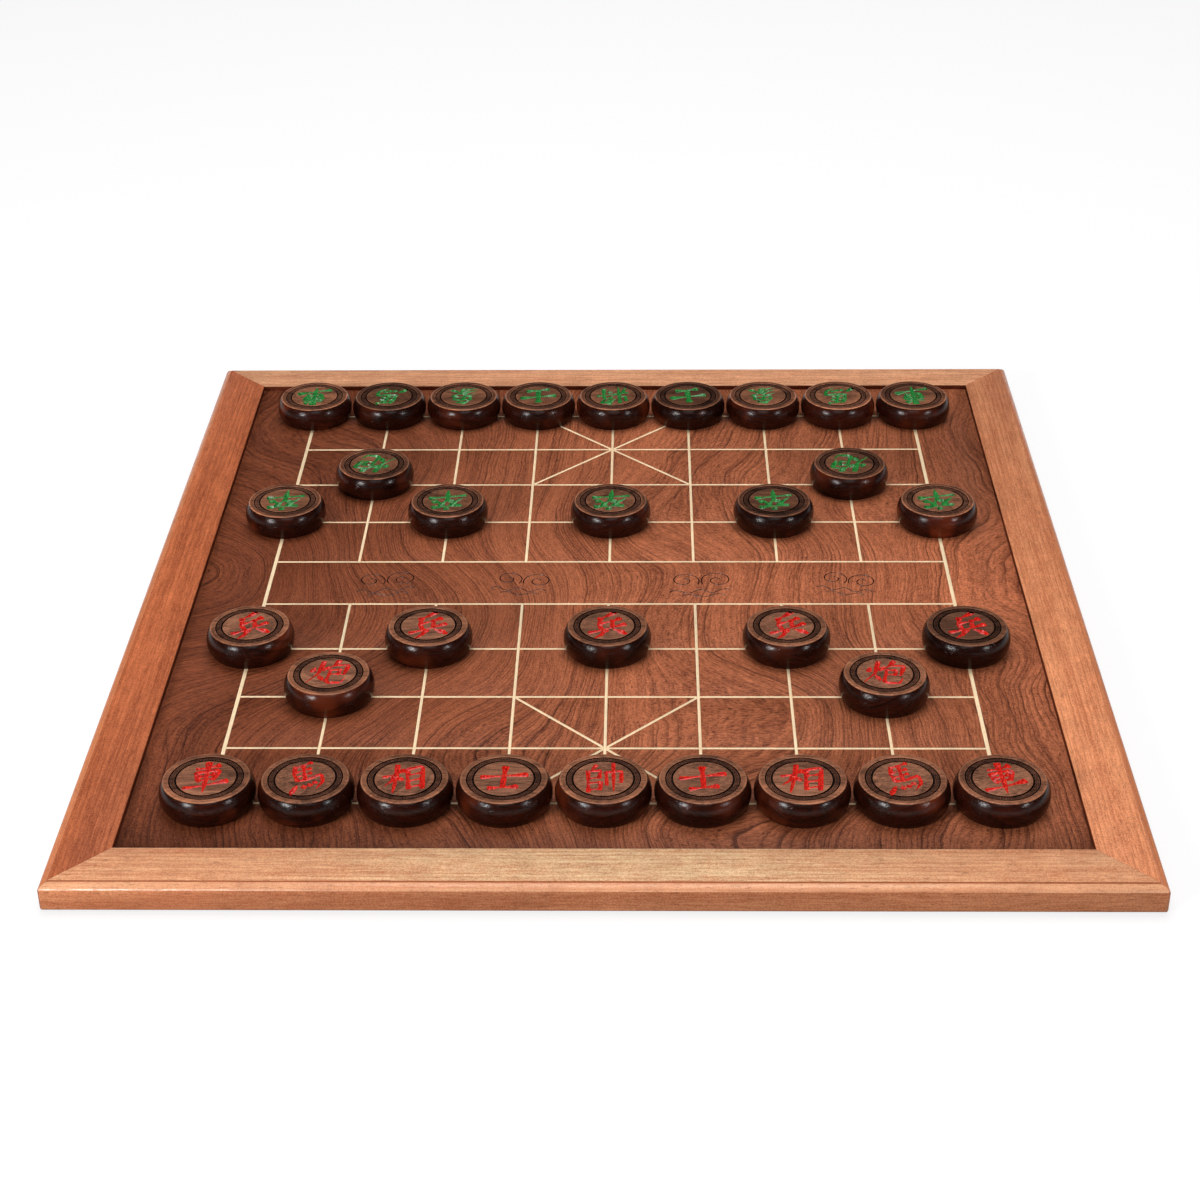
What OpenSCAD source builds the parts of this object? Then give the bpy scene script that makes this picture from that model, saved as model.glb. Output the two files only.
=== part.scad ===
/* [Playing pieces] */
// Diameter of a piece at its widest, half way up
piece_d = 50.6; // [40:0.2:60]
// Height of a piece
piece_h = 15.8; // [11:0.2:20]
// Diameter of a piece's flat top and bottom faces
piece_face_d = 44.8; // [42:0.2:47]
// Inner diameter of the sunk ring on top of a piece
ring_inner_d = 30.8; // [26:0.2:33]
// Outer diameter of the sunk ring on top of a piece
ring_outer_d = 39.2; // [35:0.2:41]
// Depth of the sunk ring
ring_depth = 1; // [0.4:0.1:2]

/* [Playing grid] */
// Gap between two pieces that stand on neighbouring crossings
piece_gap = 0.9; // [0.5:0.1:6]
// Gap between a piece on an outside file and the side rail
side_gap = 16.7; // [8:0.1:40]
// Gap between a piece on the back row and the end rail
end_gap = 18.2; // [8:0.1:40]
// Width of the inlaid lines
line_w = 1.6; // [1:0.1:3]
// Width of the two outside files
edge_line_w = 2.1; // [1:0.1:3]
// Depth of the inlaid lines
line_depth = 1.5; // [0.8:0.1:2.5]
// Glue gap between an inlaid strip and each wall of its groove
glue_gap = 0.05; // [0.02:0.01:0.1]

/* [Frame] */
// Width of a frame rail
rail_w = 32; // [28:0.5:50]
// Thickness of a frame rail
rail_t = 16; // [15:0.5:22]
// Radius of the rounded upper outside edge
rail_round = 4.8; // [3:0.1:6]
// Height of the small step above the rounded edge
rail_step = 0.8; // [0.4:0.1:1.5]
// Radius of the rounded lower outside edge
rail_foot_round = 2.5; // [1:0.1:2.8]
// Radius of the board's four outside corners, seen from above
corner_round = 3; // [1:0.1:5]

/* [Panel] */
// Thickness of the playing panel
panel_t = 7; // [6:0.25:8]
// Depth of the panel's top below the top of the frame
panel_recess = 3; // [2:0.25:4]
// Gap round the panel inside the frame
panel_gap = 0.3; // [0.1:0.05:0.6]
// Thickness of the tongue round the panel
tongue_t = 3; // [2.5:0.1:3.5]
// Height of the tongue above the panel's underside
tongue_rise = 2; // [1.5:0.1:2.4]
// Length of the tongue beyond the frame's inside face
tongue_l = 6; // [4:0.25:8]
// Room for the panel to swell beyond the tongue's tip
swell_room = 1; // [0.5:0.25:2]
// Clearance above the tongue in its groove
tongue_fit = 0.2; // [0.1:0.05:0.3]

/* [Battens] */
// Width of a batten under the panel
batten_w = 40; // [30:1:60]
// Thickness of a batten
batten_t = 4; // [3:0.25:4.5]
// Distance of each batten's middle from the middle of the board
batten_y = 150; // [80:1:200]
// Width of the tenon on each end of a batten
tenon_w = 28; // [16:1:29]
// Length of that tenon
tenon_l = 8; // [5:0.5:10]
// Clearance of a tenon in its housing, and of a batten between the rails
tenon_fit = 0.2; // [0.1:0.05:0.3]

/* [Corner splines] */
// Thickness of the spline across each mitre
spline_t = 3; // [2:0.25:3.25]
// Width of the spline along the mitre
spline_w = 12; // [8:0.5:14]
// Reach of the spline into each rail, square to the mitre
spline_reach = 12; // [8:0.5:12]
// Height of the spline above the underside of the rail
spline_rise = 3.5; // [3:0.25:3.75]
// Clearance of the spline in its slot
spline_fit = 0.1; // [0.05:0.05:0.2]

/* [Foot pads] */
// Diameter of a foot pad
pad_d = 20; // [14:0.5:24]
// Thickness of a foot pad
pad_t = 2; // [1.6:0.1:2.5]
// Height of the part of a pad that stands out of its socket
pad_stand = 1; // [0.5:0.1:1.2]
// Clearance round a pad in its socket
pad_fit = 0.2; // [0.1:0.05:0.3]
// Distance of a pad's middle from the end of the board
pad_inset = 45; // [42:1:90]

/* [Hidden] */
$fn = 96;

// A playing grid has nine files across and ten ranks along, with the river between ranks 4 and 5
last_file = 8;
last_rank = 9;
river_rank = 4;
palace_files = [3, 4];
palace_ranks = [0, 1, 7, 8];

square = piece_d + piece_gap;
side_margin = piece_d / 2 + side_gap;
end_margin = piece_d / 2 + end_gap;
opening_w = last_file * square + 2 * side_margin;
opening_l = last_rank * square + 2 * end_margin;
board_l = opening_l + 2 * rail_w;

// Heights above the surface that the board stands on
rail_z = pad_stand;
panel_top = rail_z + rail_t - panel_recess;
panel_z = panel_top - panel_t;
tongue_z = panel_z + tongue_rise;
batten_z = panel_z - batten_t;
spline_z = rail_z + spline_rise;
groove_floor = panel_top - line_depth;

groove_w = line_w + 2 * glue_gap;
edge_groove_w = edge_line_w + 2 * glue_gap;
rail_mid_x = opening_w / 2 + rail_w / 2;
rail_mid_y = opening_l / 2 + rail_w / 2;
pad_y = board_l / 2 - pad_inset;

// How far a cutting shape reaches past the face that it cuts, so that no face is left as a skin
over = 1;

// Side of the board that each corner lies on: left or right, then front or back
front_left = [-1, -1];
front_right = [1, -1];
back_left = [-1, 1];
back_right = [1, 1];
corners = [front_left, front_right, back_left, back_right];

BACK_ROW = [
    "chariot_left", "horse_left", "elephant_left", "advisor_left", "general",
    "advisor_right", "elephant_right", "horse_right", "chariot_right"
];

// Every piece of one side as its name, file and rank, with back as the rank of its back row and step as
// the direction in which it advances
function side_pieces(side, back, step) = concat(
    [for (file = [0 : last_file]) [str(side, "_", BACK_ROW[file]), file, back]],
    [[str(side, "_cannon_left"), 1, back + 2 * step]],
    [[str(side, "_cannon_right"), last_file - 1, back + 2 * step]],
    [for (i = [0 : last_file / 2]) [str(side, "_soldier_", i + 1), 2 * i, back + 3 * step]]
);
PIECES = concat(side_pieces("red", 0, 1), side_pieces("green", last_rank, -1));

RAIL_COLOUR = "#c98260";
PANEL_COLOUR = "#74473a";
LINE_COLOUR = "#efd3a4";
BATTEN_COLOUR = "#9a6a4c";
SPLINE_COLOUR = "#b98e66";
PAD_COLOUR = "#3b3a38";
PIECE_COLOUR = "#3a211b";

// Place of a file's middle line, and of a rank's
function file_x(file) = (file - last_file / 2) * square;
function rank_y(rank) = (rank - last_rank / 2) * square;

// A block centred at x and y that stands on z
module block(x, y, z, size) {
    translate([x - size.x / 2, y - size.y / 2, z]) cube(size);
}

// Section of a rail, with x measured outwards from its inside face
module rail_section() {
    shoulder = rail_t - rail_step - rail_round;
    groove_z = tongue_z - rail_z;
    difference() {
        square([rail_w, rail_t]);
        // rounded upper edge below its step
        difference() {
            translate([rail_w - rail_round, shoulder]) square([rail_round + over, rail_round + rail_step + over]);
            translate([rail_w - rail_round, shoulder]) circle(rail_round);
        }
        // rounded lower edge
        difference() {
            translate([rail_w - rail_foot_round, -over]) square(rail_foot_round + over);
            translate([rail_w - rail_foot_round, rail_foot_round]) circle(rail_foot_round);
        }
        // groove for the panel's tongue
        translate([-over, groove_z]) square([over + tongue_l + swell_room, tongue_t + tongue_fit]);
    }
}

// A rail seen from above, lying along x with its inside face at y = 0 and its outside face towards -y: mitred
// ends, and the board's outside corners rounded
module rail_plan(opening) {
    inner = opening / 2 - over;
    outer = opening / 2 + rail_w + over;
    corner_x = opening / 2 + rail_w - corner_round;
    corner_y = corner_round - rail_w;
    cut = corner_round + over;
    difference() {
        polygon([[-inner, over], [inner, over], [outer, -rail_w - over], [-outer, -rail_w - over]]);
        for (side = [-1, 1]) difference() {
            translate([side * (corner_x + cut / 2), corner_y - cut / 2]) square(cut, center = true);
            translate([side * corner_x, corner_y]) circle(corner_round);
        }
    }
}

module mitred_rail(opening) {
    intersection() {
        rotate([90, 0, -90])
            linear_extrude(height = opening + 2 * rail_w + 2 * over, center = true) rail_section();
        translate([0, 0, -over])
            linear_extrude(height = rail_t + 2 * over) rail_plan(opening);
    }
}

// The spline across the mitre at a corner, grown by fit at its edges and upper face
module spline(corner, fit) {
    translate([corner.x * rail_mid_x, corner.y * rail_mid_y, 0])
        rotate([0, 0, corner.x * corner.y * 45])
            block(0, 0, spline_z, [spline_w + 2 * fit, 2 * (spline_reach + fit), spline_t + fit]);
}

// The foot pad near a corner, grown by fit round its edge
module pad(corner, fit) {
    translate([corner.x * rail_mid_x, corner.y * pad_y, 0]) cylinder(h = pad_t, d = pad_d + 2 * fit);
}

// A batten's tenon on the side towards -x or +x, grown by fit at its edges and upper face
module tenon(side, y, fit) {
    root = opening_w / 2 - panel_gap - over;
    length = over + panel_gap + tenon_l + fit;
    block(side * (root + length / 2), y, batten_z, [length, tenon_w + 2 * fit, batten_t + fit]);
}

// What an end rail, front or back, loses to the splines at its two corners
module end_rail_cuts(front_or_back) {
    for (side = [-1, 1]) spline([side, front_or_back], spline_fit);
}

// What a side rail loses to its splines, foot pads and batten tenons
module side_rail_cuts(side) {
    for (end = [-1, 1]) {
        spline([side, end], spline_fit);
        pad([side, end], pad_fit);
        tenon(side, end * batten_y, tenon_fit);
    }
}

module front_rail() {
    color(RAIL_COLOUR) difference() {
        translate([0, -opening_l / 2, rail_z]) mitred_rail(opening_w);
        end_rail_cuts(-1);
    }
}

module back_rail() {
    color(RAIL_COLOUR) difference() {
        translate([0, opening_l / 2, rail_z]) rotate([0, 0, 180]) mitred_rail(opening_w);
        end_rail_cuts(1);
    }
}

module left_rail() {
    color(RAIL_COLOUR) difference() {
        translate([-opening_w / 2, 0, rail_z]) rotate([0, 0, -90]) mitred_rail(opening_l);
        side_rail_cuts(-1);
    }
}

module right_rail() {
    color(RAIL_COLOUR) difference() {
        translate([opening_w / 2, 0, rail_z]) rotate([0, 0, 90]) mitred_rail(opening_l);
        side_rail_cuts(1);
    }
}

// A line along one file between two ranks, or along one rank between two files, seen from above and grown by
// fit at its edges
module file_line(file, from_rank, to_rank, w, fit) {
    reach = line_w / 2 + fit;
    translate([file_x(file) - w / 2 - fit, rank_y(from_rank) - reach])
        square([w + 2 * fit, rank_y(to_rank) - rank_y(from_rank) + 2 * reach]);
}

module rank_line(rank, from_file, to_file, w) {
    translate([file_x(from_file) - w / 2, rank_y(rank) - w / 2])
        square([file_x(to_file) - file_x(from_file) + w, w]);
}

// The files: those at the sides cross the river, the others stop at its banks
module file_lines(fit) {
    for (file = [0, last_file]) file_line(file, 0, last_rank, edge_line_w, fit);
    for (file = [1 : last_file - 1]) {
        file_line(file, 0, river_rank, line_w, fit);
        file_line(file, river_rank + 1, last_rank, line_w, fit);
    }
}

// The diagonal through one square of a palace, as far as the lines round that square leave room
module palace_line(file, rank, w, edge) {
    centre = [file_x(file) + square / 2, rank_y(rank) + square / 2];
    clear = square - edge;
    rising = (file == palace_files[0]) == (rank == palace_ranks[0] || rank == palace_ranks[2]);
    translate(centre) intersection() {
        square(clear, center = true);
        rotate(rising ? 45 : -45) square([2 * square, w], center = true);
    }
}

module palace_lines(w, edge) {
    for (file = palace_files, rank = palace_ranks) palace_line(file, rank, w, edge);
}

module playing_panel() {
    body = [opening_w - 2 * panel_gap, opening_l - 2 * panel_gap, panel_t];
    tongue = [opening_w + 2 * tongue_l, opening_l + 2 * tongue_l, tongue_t];
    color(PANEL_COLOUR) difference() {
        union() {
            block(0, 0, panel_z, body);
            block(0, 0, tongue_z, tongue);
        }
        translate([0, 0, groove_floor]) linear_extrude(height = line_depth + over) {
            file_lines(glue_gap);
            for (rank = [0 : last_rank]) rank_line(rank, 0, last_file, groove_w);
            palace_lines(groove_w, 0);
        }
    }
}

module file_strips() {
    color(LINE_COLOUR) translate([0, 0, groove_floor]) linear_extrude(height = line_depth) file_lines(0);
}

// Half the width of a file's groove
function file_reach(file) = (file == 0 || file == last_file ? edge_groove_w : groove_w) / 2;

// Each rank is made of short strips that butt against the files
module rank_strips() {
    color(LINE_COLOUR) for (rank = [0 : last_rank], file = [0 : last_file - 1]) {
        start = file_x(file) + file_reach(file);
        end = file_x(file + 1) - file_reach(file + 1);
        block((start + end) / 2, rank_y(rank), groove_floor, [end - start, line_w, line_depth]);
    }
}

module palace_strips() {
    color(LINE_COLOUR) translate([0, 0, groove_floor])
        linear_extrude(height = line_depth) palace_lines(line_w, groove_w);
}

module corner_spline(corner) {
    color(SPLINE_COLOUR) spline(corner, 0);
}

// A batten across the board under the panel, with end = -1 at the front and 1 at the back
module batten(end) {
    between_rails = opening_w - 2 * tenon_fit;
    color(BATTEN_COLOUR) union() {
        block(0, end * batten_y, batten_z, [between_rails, batten_w, batten_t]);
        for (side = [-1, 1]) tenon(side, end * batten_y, 0);
    }
}

module foot_pad(corner) {
    color(PAD_COLOUR) pad(corner, 0);
}

// Half the outline of a piece: a barrel side on one arc between the flat faces, and the sunk ring
module piece_outline() {
    inset = (piece_d - piece_face_d) / 2;
    side_r = (pow(piece_h / 2, 2) + pow(inset, 2)) / (2 * inset);
    side_x = piece_d / 2 - side_r;
    ring_w = (ring_outer_d - ring_inner_d) / 2;
    difference() {
        union() {
            square([piece_face_d / 2, piece_h]);
            intersection() {
                translate([side_x, piece_h / 2]) circle(side_r);
                square([piece_d, piece_h]);
                translate([side_x, 0]) square([piece_d, piece_h]);
            }
        }
        translate([ring_inner_d / 2, piece_h - ring_depth]) square([ring_w, ring_depth + over]);
    }
}

module playing_piece(file, rank) {
    color(PIECE_COLOUR) translate([file_x(file), rank_y(rank), panel_top]) rotate_extrude() piece_outline();
}

front_rail();
back_rail();
left_rail();
right_rail();
playing_panel();
file_strips();
rank_strips();
palace_strips();
corner_spline(front_left);  // front_left_spline
corner_spline(front_right);  // front_right_spline
corner_spline(back_left);  // back_left_spline
corner_spline(back_right);  // back_right_spline
batten(-1);  // front_batten
batten(1);  // back_batten
foot_pad(front_left);  // front_left_pad
foot_pad(front_right);  // front_right_pad
foot_pad(back_left);  // back_left_pad
foot_pad(back_right);  // back_right_pad
for (piece = PIECES) playing_piece(piece[1], piece[2]);
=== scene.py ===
import math

import bmesh
import bpy
from mathutils import Matrix, Vector


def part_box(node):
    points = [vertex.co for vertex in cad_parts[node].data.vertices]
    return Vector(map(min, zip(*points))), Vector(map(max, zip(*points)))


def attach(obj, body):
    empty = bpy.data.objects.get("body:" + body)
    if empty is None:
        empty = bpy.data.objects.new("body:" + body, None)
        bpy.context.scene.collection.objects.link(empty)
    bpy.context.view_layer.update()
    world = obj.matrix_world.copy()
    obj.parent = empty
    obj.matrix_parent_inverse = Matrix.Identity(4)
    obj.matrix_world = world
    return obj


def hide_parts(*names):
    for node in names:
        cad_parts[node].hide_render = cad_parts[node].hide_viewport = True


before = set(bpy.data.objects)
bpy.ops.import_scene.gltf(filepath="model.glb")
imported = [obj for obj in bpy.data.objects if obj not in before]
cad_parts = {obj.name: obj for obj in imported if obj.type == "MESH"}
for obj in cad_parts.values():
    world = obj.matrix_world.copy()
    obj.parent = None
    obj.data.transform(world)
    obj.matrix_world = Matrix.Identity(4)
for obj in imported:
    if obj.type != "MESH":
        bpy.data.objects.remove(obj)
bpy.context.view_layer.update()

MM = 0.001

# The playing grid, read from where the pieces stand on it
FILES = 9
FIRST_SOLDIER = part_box("red_soldier_1")
LAST_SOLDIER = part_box("red_soldier_5")
SQUARE = (LAST_SOLDIER[0].x - FIRST_SOLDIER[0].x) / (FILES - 1)
PANEL_TOP = FIRST_SOLDIER[0].z
PIECE_H = FIRST_SOLDIER[1].z - FIRST_SOLDIER[0].z

# A turned piece, in the same sizes as its solid
PIECE_R = (FIRST_SOLDIER[1].x - FIRST_SOLDIER[0].x) / 2
FACE_R = 22.4 * MM
RING_OUTER_R = 19.6 * MM
RING_INNER_R = 15.4 * MM
RING_DEPTH = 1 * MM
TURNED_SIDES = 288
BARREL_CUTS = 11
RIM_EASE = 0.5 * MM
RING_EASE = 0.22 * MM
FOOT_EASE = 0.5 * MM

# One squared spiral of the meander, from the outside of the ring inwards
MEANDER = (
    "#######.",
    "#.....#.",
    "#.###.#.",
    "#.#.#.#.",
    "#.#...#.",
    "#.#####.",
    "#.......",
)
MEANDER_ROW = 0.37 * MM
MEANDER_RISE = 0.75 * MM
MEANDER_MARGIN = (RING_OUTER_R - RING_INNER_R - len(MEANDER) * MEANDER_ROW) / 2

# How exactly a place is met, what counts as close to one, and how far up or down a flat face looks
EXACT = 0.02 * MM
CLOSE = 0.1 * MM
FLAT = 0.9

# Order of the materials on a piece, whose band is the flat wood outside the ring
SIDE, FACE, RING, EDGE, PAINT, RAISED, BAND = range(7)

# Half widths of a brush stroke from its start to its end, in tenths of the character's width
BRUSH = {
    "across": (0.34, 0.18, 0.14, 0.19, 0.44),
    "down": (0.38, 0.27, 0.25, 0.27, 0.33),
    "needle": (0.38, 0.28, 0.27, 0.24, 0.08),
    "sweep_left": (0.42, 0.35, 0.25, 0.14, 0.05),
    "sweep_right": (0.10, 0.20, 0.32, 0.46, 0.10),
    "dot": (0.12, 0.28, 0.40, 0.42, 0.28),
    "turn": (0.30, 0.22, 0.34, 0.30, 0.32),
    "hook": (0.30, 0.25, 0.34, 0.30, 0.06),
}

# How boldly each side's strokes are cut
BOLDNESS = {"red": 1.0, "green": 1.25}

# A stroke's width wavers by this share, this fast along it
BRUSH_WAVER = 0.14
WAVER_RATE = 9

# The round ends of a stroke: how far out each point lies, and its width, in half widths
STROKE_TIPS = ((0.5, 0.85), (0.9, 0.4))

# A character rises to the right by this share, and a stroke is this deep for its half width
STROKE_SLANT = 0.17
STROKE_DEPTH = 0.95

# The side of the square that strokes are drawn in, and the steps along a stroke
STROKE_SQUARE = 10
CARVING_STEPS = 14

# Each character's width, height, weight of brush, and strokes in a square from its lower left corner
CHARIOT = (24.5 * MM, 27.5 * MM, 1.95, (
    ("across", (2.8, 8.4), (5.0, 8.1), (7.4, 8.6)),
    ("down", (3.0, 7.0), (2.9, 5.6), (3.5, 4.2)),
    ("turn", (3.0, 7.0), (6.9, 7.2), (7.5, 6.6), (6.6, 4.3)),
    ("across", (3.4, 5.6), (6.6, 5.8)),
    ("across", (3.3, 4.3), (6.6, 4.4)),
    ("across", (0.6, 2.5), (4.5, 2.5), (9.4, 3.0)),
    ("needle", (5.2, 9.9), (5.0, 5.5), (4.6, 0.3)),
))
HORSE = (22.5 * MM, 27 * MM, 1.65, (
    ("down", (3.6, 9.3), (2.7, 7.2), (3.1, 4.7)),
    ("across", (3.6, 9.1), (7.4, 9.4)),
    ("across", (3.1, 7.5), (6.8, 7.6)),
    ("across", (3.1, 6.0), (6.6, 6.1)),
    ("down", (5.4, 9.2), (4.9, 4.7)),
    ("hook", (3.1, 4.6), (5.6, 4.3), (8.8, 4.8), (8.7, 2.3), (6.6, 0.6)),
    ("dot", (2.6, 3.2), (0.8, 1.4)),
    ("dot", (4.0, 2.9), (4.1, 1.7)),
    ("dot", (5.3, 2.9), (5.7, 1.8)),
    ("dot", (6.5, 3.2), (7.0, 2.3)),
))
MINISTER = (22.5 * MM, 25.5 * MM, 1.9, (
    ("across", (0.2, 6.4), (2.4, 6.6), (4.9, 7.7)),
    ("needle", (3.5, 9.9), (3.1, 5.5), (2.2, 0.4)),
    ("sweep_left", (3.0, 6.4), (2.2, 4.7), (0.4, 3.3)),
    ("dot", (3.2, 5.6), (4.6, 4.4)),
    ("down", (5.8, 7.9), (5.7, 4.5), (5.9, 1.0)),
    ("turn", (5.8, 7.9), (8.9, 8.3), (9.3, 7.6), (9.0, 0.5)),
    ("across", (5.9, 5.8), (8.9, 6.0)),
    ("across", (5.9, 3.7), (8.9, 3.9)),
    ("across", (6.0, 1.5), (8.9, 1.7)),
))
ELEPHANT = (22.5 * MM, 26.5 * MM, 1.45, (
    ("sweep_left", (4.5, 9.9), (3.5, 8.6), (2.0, 7.5)),
    ("sweep_left", (3.9, 9.0), (6.8, 8.9), (5.5, 7.7)),
    ("down", (2.7, 7.4), (2.9, 5.6)),
    ("turn", (2.7, 7.4), (7.7, 7.3), (7.4, 5.5)),
    ("across", (2.9, 5.6), (7.4, 5.5)),
    ("sweep_left", (5.0, 7.4), (4.6, 5.4), (1.4, 4.0)),
    ("hook", (4.2, 4.8), (5.8, 3.5), (5.9, 1.2), (4.4, 0.6)),
    ("sweep_left", (5.2, 3.9), (3.6, 2.8), (1.3, 2.2)),
    ("sweep_left", (5.7, 2.6), (4.0, 1.4), (1.4, 0.6)),
    ("sweep_left", (8.3, 5.0), (7.4, 4.2), (6.1, 3.7)),
    ("sweep_right", (6.0, 4.0), (7.3, 2.3), (9.5, 1.0)),
))
SCHOLAR = (25 * MM, 22.5 * MM, 2.1, (
    ("across", (0.4, 5.9), (9.6, 5.9)),
    ("down", (5.0, 9.5), (5.0, 1.5)),
    ("across", (2.2, 1.3), (7.9, 1.3)),
))
MARSHAL = (22 * MM, 26 * MM, 1.6, (
    ("sweep_left", (3.3, 9.8), (2.7, 8.9), (1.9, 8.1)),
    ("down", (1.4, 8.1), (1.5, 1.0)),
    ("turn", (1.4, 8.0), (4.3, 7.9), (4.1, 5.4)),
    ("across", (1.6, 5.5), (4.1, 5.5)),
    ("turn", (1.5, 3.9), (4.4, 3.8), (4.3, 1.4)),
    ("across", (1.6, 1.6), (4.3, 1.5)),
    ("down", (5.7, 7.0), (5.8, 2.5)),
    ("hook", (5.7, 6.9), (9.3, 6.8), (9.2, 2.6), (8.3, 3.1)),
    ("needle", (7.4, 9.7), (7.4, 0.1)),
))
GENERAL = (23 * MM, 26 * MM, 1.5, (
    ("down", (1.3, 8.9), (1.4, 6.4)),
    ("across", (1.4, 6.3), (3.1, 6.3)),
    ("across", (0.6, 4.3), (3.1, 4.3)),
    ("sweep_left", (1.9, 4.2), (1.7, 2.4), (0.6, 0.9)),
    ("needle", (3.2, 9.8), (3.2, 0.2)),
    ("sweep_left", (6.5, 9.9), (5.7, 8.3), (4.3, 7.1)),
    ("sweep_left", (6.0, 8.8), (8.8, 8.7), (7.4, 6.4), (4.4, 5.1)),
    ("dot", (5.9, 7.9), (6.8, 7.2)),
    ("dot", (5.2, 7.1), (6.0, 6.3)),
    ("across", (4.2, 4.4), (9.6, 4.4)),
    ("hook", (7.7, 6.1), (7.7, 3.2), (7.6, 0.5), (6.4, 1.3)),
    ("dot", (5.2, 3.6), (6.2, 2.4)),
))
CANNON = (23 * MM, 25.5 * MM, 1.65, (
    ("dot", (1.3, 7.2), (1.0, 5.4)),
    ("dot", (4.6, 7.6), (3.5, 6.0)),
    ("sweep_left", (2.8, 9.6), (2.7, 4.8), (0.5, 0.8)),
    ("dot", (2.9, 4.0), (4.3, 2.0)),
    ("sweep_left", (6.4, 9.8), (5.7, 8.1), (4.5, 6.5)),
    ("hook", (5.8, 8.1), (9.1, 8.0), (8.9, 3.9), (7.9, 4.4)),
    ("turn", (5.4, 6.2), (7.6, 6.1), (7.5, 4.4)),
    ("across", (5.5, 4.4), (7.5, 4.3)),
    ("hook", (5.3, 6.2), (5.3, 1.6), (6.2, 0.8), (9.0, 0.8), (9.5, 2.9)),
))
SOLDIER = (24 * MM, 26.5 * MM, 2.0, (
    ("sweep_left", (7.5, 9.7), (5.6, 8.8), (3.4, 8.3)),
    ("down", (3.8, 8.3), (3.1, 6.0), (3.4, 4.0)),
    ("across", (3.4, 6.2), (5.8, 6.3), (8.4, 6.9)),
    ("down", (6.6, 6.6), (6.1, 4.2)),
    ("across", (0.4, 3.2), (4.5, 3.5), (9.2, 4.3)),
    ("sweep_left", (4.3, 3.2), (3.0, 1.5), (0.8, 0.5)),
    ("dot", (6.2, 3.0), (7.6, 1.7), (8.9, 0.2)),
))
FOOTMAN = (24.5 * MM, 27 * MM, 1.8, (
    ("dot", (4.6, 9.9), (5.4, 8.9)),
    ("across", (1.5, 8.1), (8.6, 8.0)),
    ("sweep_left", (3.6, 7.8), (3.0, 6.2), (1.1, 4.5)),
    ("dot", (3.3, 6.5), (4.7, 5.0)),
    ("sweep_left", (6.7, 7.9), (6.2, 6.4), (4.9, 4.8)),
    ("sweep_right", (6.4, 6.7), (7.4, 5.6), (9.1, 4.7)),
    ("across", (0.5, 3.4), (9.5, 3.3)),
    ("needle", (5.0, 5.2), (5.0, 0.0)),
))

# Turn of each piece as it was set down, in degrees
TURNS = {
    "red_chariot_left": 4, "red_horse_left": 17, "red_elephant_left": 5, "red_advisor_left": -3,
    "red_general": 1, "red_advisor_right": 2, "red_elephant_right": -3, "red_horse_right": 12,
    "red_chariot_right": 8, "red_cannon_left": -8, "red_cannon_right": -12,
    "red_soldier_1": 17, "red_soldier_2": 10, "red_soldier_3": 8, "red_soldier_4": 12, "red_soldier_5": 6,
    "green_chariot_left": 183, "green_horse_left": 170, "green_elephant_left": 176,
    "green_advisor_left": 182, "green_general": 184, "green_advisor_right": 184,
    "green_elephant_right": 178, "green_horse_right": 175, "green_chariot_right": 186,
    "green_cannon_left": 160, "green_cannon_right": 166,
    "green_soldier_1": 178, "green_soldier_2": 181, "green_soldier_3": 176, "green_soldier_4": 181,
    "green_soldier_5": 183,
}

# How a piece's grain leans and lies over, and how far apart in the wood the pieces are cut
GRAIN_LEAN = 0.3
GRAIN_LEAN_STEP = 2.1
GRAIN_TILT = math.radians(82)
GRAIN_STEP = Vector((0.31, 0.17, 0.05))

# The frame and the panel
FRAME_EASE = 0.25 * MM
RAIL_STEP = 0.8 * MM
RAIL_ROUND = 4.8 * MM
STRIP_EASE = 0.12 * MM
PANEL_EASE = 0.12 * MM

# Order of the woods on a rail, after the wood of its top
STEP, ROUND, OUTER, INNER = range(1, 5)

# How far up the faces of a rail's rounded edge look, and the most that an upright face does
ROUND_LOOKS_UP = (0.45, 0.999)
UPRIGHT = 0.3

# Turn of the grain in a part that runs from left to right
ALONG_X = math.pi / 2

# Each lamp's name, place, size and power, all of them aimed at the middle of the board
LAMPS = (
    ("left_window", (-1.6, -1.8, 0.95), (0.6, 0.42), 31),
    ("right_window", (1.9, -1.5, 0.95), (0.38, 0.34), 11),
    ("front_softbox", (0.1, -1.5, 1.5), (1.1, 0.7), 5),
    ("overhead", (0.0, 0.5, 2.1), (1.6, 1.6), 27),
)

# The light that the surroundings give, and how they dim towards the ceiling in a reflection
AMBIENT = 0.2
CEILING = 0.05
CEILING_STARTS = 0.02
CEILING_ENDS = 0.14

# The floor's size, its colour in the light it throws and as it is seen, and its glow when seen
FLOOR_SIZE = 14
FLOOR_THROWN = (0.12, 0.12, 0.12, 1)
FLOOR_SEEN = (0.3, 0.3, 0.3, 1)
FLOOR_GLOW = 0.74

# Engraved water marks in the river: each place in squares, its size in squares and its turn in degrees
WATER_MARKS = (
    ((-2.62, 0.0), 0.76, 8),
    ((-1.02, 0.0), 0.72, -6),
    ((1.08, -0.02), 0.8, 4),
    ((2.8, 0.0), 0.72, -10),
)
ENGRAVING_R = 0.36 * MM
WATER_SHARES = [step / 30 for step in range(31)]

# The camera, fitted to the crossings of the grid
CAMERA_LENS = 70.16
CAMERA_SENSOR = 36
CAMERA_PLACE = Vector((0.0206, -1.2306, 0.7171))
CAMERA_PITCH = 0.52649
CAMERA_YAW = -0.02132
CAMERA_ROLL = 0.01094


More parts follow.
